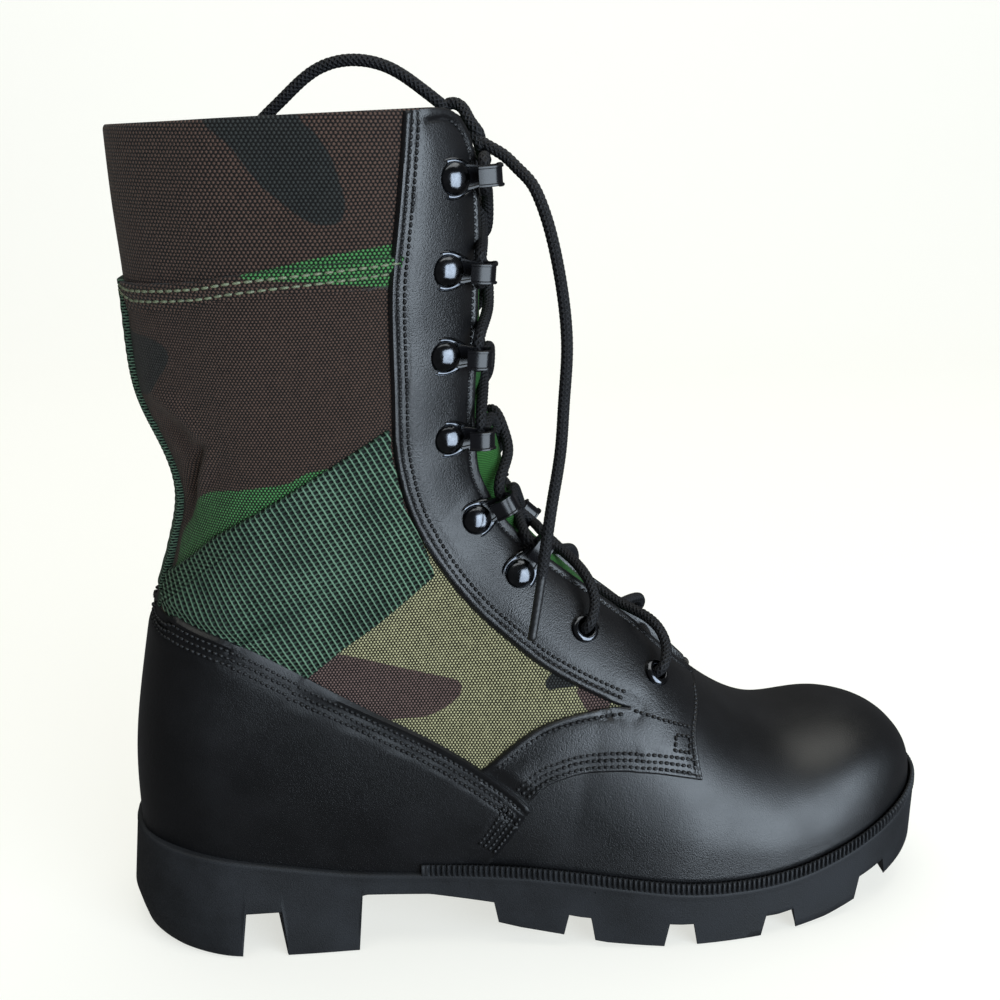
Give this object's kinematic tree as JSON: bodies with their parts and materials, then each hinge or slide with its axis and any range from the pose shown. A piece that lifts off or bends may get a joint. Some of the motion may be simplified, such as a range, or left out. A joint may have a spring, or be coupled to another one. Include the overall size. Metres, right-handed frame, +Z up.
{
  "type": "military boot",
  "caption": "High-laced right boot with a canvas shaft, leather vamp, heel counter and eyestays, slanted ankle webbing, speed hooks and a lugged rubber sole; it covers the foot and ankle.",
  "frame": {"origin": "on the floor under the middle of the boot's length and width", "axes": "+X towards the toe, +Y towards the inner (medial) side, +Z up; the outer (lateral) side faces -Y"},
  "size_m": [0.3134, 0.1056, 0.3157],
  "materials": {
    "rubber": "matte",
    "rand_rubber": "matte",
    "board": "matte",
    "canvas": "woven",
    "tongue_canvas": "woven",
    "leather": "semi-gloss",
    "webbing": "woven",
    "hardware": "gloss",
    "lace": "braided"
  },
  "bodies": {
    "root": {"outsole": "rubber", "ribbed_rand": "rand_rubber", "insole": "board", "upper": "canvas", "tongue": "tongue_canvas", "heel_counter": "leather", "facing_lateral": "leather", "facing_medial": "leather", "webbing_lateral": "webbing", "webbing_medial": "webbing", "backstay": "webbing", "cuff_seam": "canvas", "hook_lateral_1": "hardware", "hook_lateral_2": "hardware", "hook_lateral_3": "hardware", "hook_lateral_4": "hardware", "hook_lateral_5": "hardware", "hook_lateral_6": "hardware", "hook_medial_1": "hardware", "hook_medial_2": "hardware", "hook_medial_3": "hardware", "hook_medial_4": "hardware", "hook_medial_5": "hardware", "hook_medial_6": "hardware", "eyelet_lateral_1": "hardware", "eyelet_lateral_2": "hardware", "eyelet_medial_1": "hardware", "eyelet_medial_2": "hardware", "lace_crossings": "lace", "lace_knot": "lace", "lace_end_front": "lace", "lace_end_inside": "lace"}
  },
  "joints": []
}
